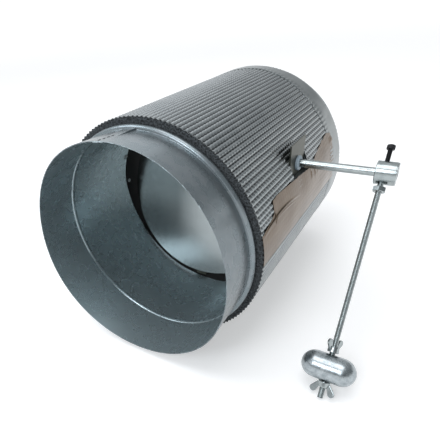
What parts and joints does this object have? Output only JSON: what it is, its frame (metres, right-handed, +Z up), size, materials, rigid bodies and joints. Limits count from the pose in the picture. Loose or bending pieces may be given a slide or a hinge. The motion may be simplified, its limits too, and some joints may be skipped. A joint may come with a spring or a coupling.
{
  "type": "bypass damper",
  "caption": "Round insulated bypass damper for an air duct: a hinged blade closes a collared tube, held shut by an adjustable weight on an outside arm.",
  "frame": {"origin": "centre of the front collar, halfway along its straight wall", "axes": "+Y along the duct from the front collar to the rear one, +X along the shaft towards the arm, +Z up"},
  "size_m": [0.3849, 0.3996, 0.2789],
  "materials": {
    "galvanised_sheet": "satin galvanised, light spangle",
    "black_foam": "matt closed-cell foam",
    "embossed_foil": "bright foil, embossed with fine ridges",
    "smooth_tape": "smooth bright foil tape",
    "bracket_steel": "zinc-plated, satin",
    "bush_plastic": "pale blue-grey, matt",
    "plated_steel": "bright zinc plate",
    "polished_chrome": "polished, lightly mottled",
    "black_steel": "black oxide, satin",
    "blade_gasket_rubber": "matt",
    "rivet_aluminium": "satin"
  },
  "bodies": {
    "housing": {"duct_tube": "galvanised_sheet", "foam_sleeve": "black_foam", "foil_facing": "embossed_foil", "rear_tape_band": "smooth_tape", "seam_tape": "smooth_tape", "near_bracket": "bracket_steel", "far_bracket": "bracket_steel", "bracket_rivets": "rivet_aluminium", "near_bush": "bush_plastic", "far_bush": "bush_plastic", "blade_stops": "bracket_steel", "stop_rivets": "rivet_aluminium"},
    "blade": {"shaft": "plated_steel", "near_retaining_ring": "black_steel", "far_retaining_ring": "black_steel", "front_blade_disc": "galvanised_sheet", "blade_gasket": "blade_gasket_rubber", "rear_blade_disc": "galvanised_sheet", "blade_straps": "plated_steel", "blade_bolts": "plated_steel", "blade_nuts": "plated_steel"},
    "arm": {"arm_hub": "plated_steel", "threaded_rod": "plated_steel"},
    "clamp_screw": {"clamp_screw": "black_steel"},
    "jam_nut": {"jam_nut": "plated_steel"},
    "weight": {"weight": "polished_chrome"},
    "upper_wing_nut": {"upper_wing_nut": "plated_steel"},
    "lower_wing_nut": {"lower_wing_nut": "plated_steel"}
  },
  "joints": [
    {"name": "blade_turn", "type": "hinge", "parent": "housing", "child": "blade", "pos_m": [0, 0.1703, 0.0576], "axis": [-1, 0, 0], "range_deg": [0, 48]},
    {"name": "arm_clock", "type": "hinge", "parent": "blade", "child": "arm", "pos_m": [0.21799, 0.1703, 0.0576], "axis": [1, 0, 0], "continuous": true},
    {"name": "clamp_screw_turn", "type": "hinge", "parent": "arm", "child": "clamp_screw", "pos_m": [0.21799, 0.1703, 0.0576], "axis": [0, 0.6293, 0.7771], "continuous": true},
    {"name": "jam_nut_turn", "type": "hinge", "parent": "arm", "child": "jam_nut", "pos_m": [0.21799, 0.1703, 0.0576], "axis": [0, 0.6293, 0.7771], "continuous": true},
    {"name": "weight_slide", "type": "slide", "parent": "arm", "child": "weight", "axis": [0, 0.6293, 0.7771], "range_m": [-0.003, 0.16]},
    {"name": "upper_wing_nut_turn", "type": "hinge", "parent": "weight", "child": "upper_wing_nut", "pos_m": [0.21799, 0.1703, 0.0576], "axis": [0, 0.6293, 0.7771], "continuous": true},
    {"name": "lower_wing_nut_turn", "type": "hinge", "parent": "weight", "child": "lower_wing_nut", "pos_m": [0.21799, 0.1703, 0.0576], "axis": [0, 0.6293, 0.7771], "continuous": true}
  ]
}
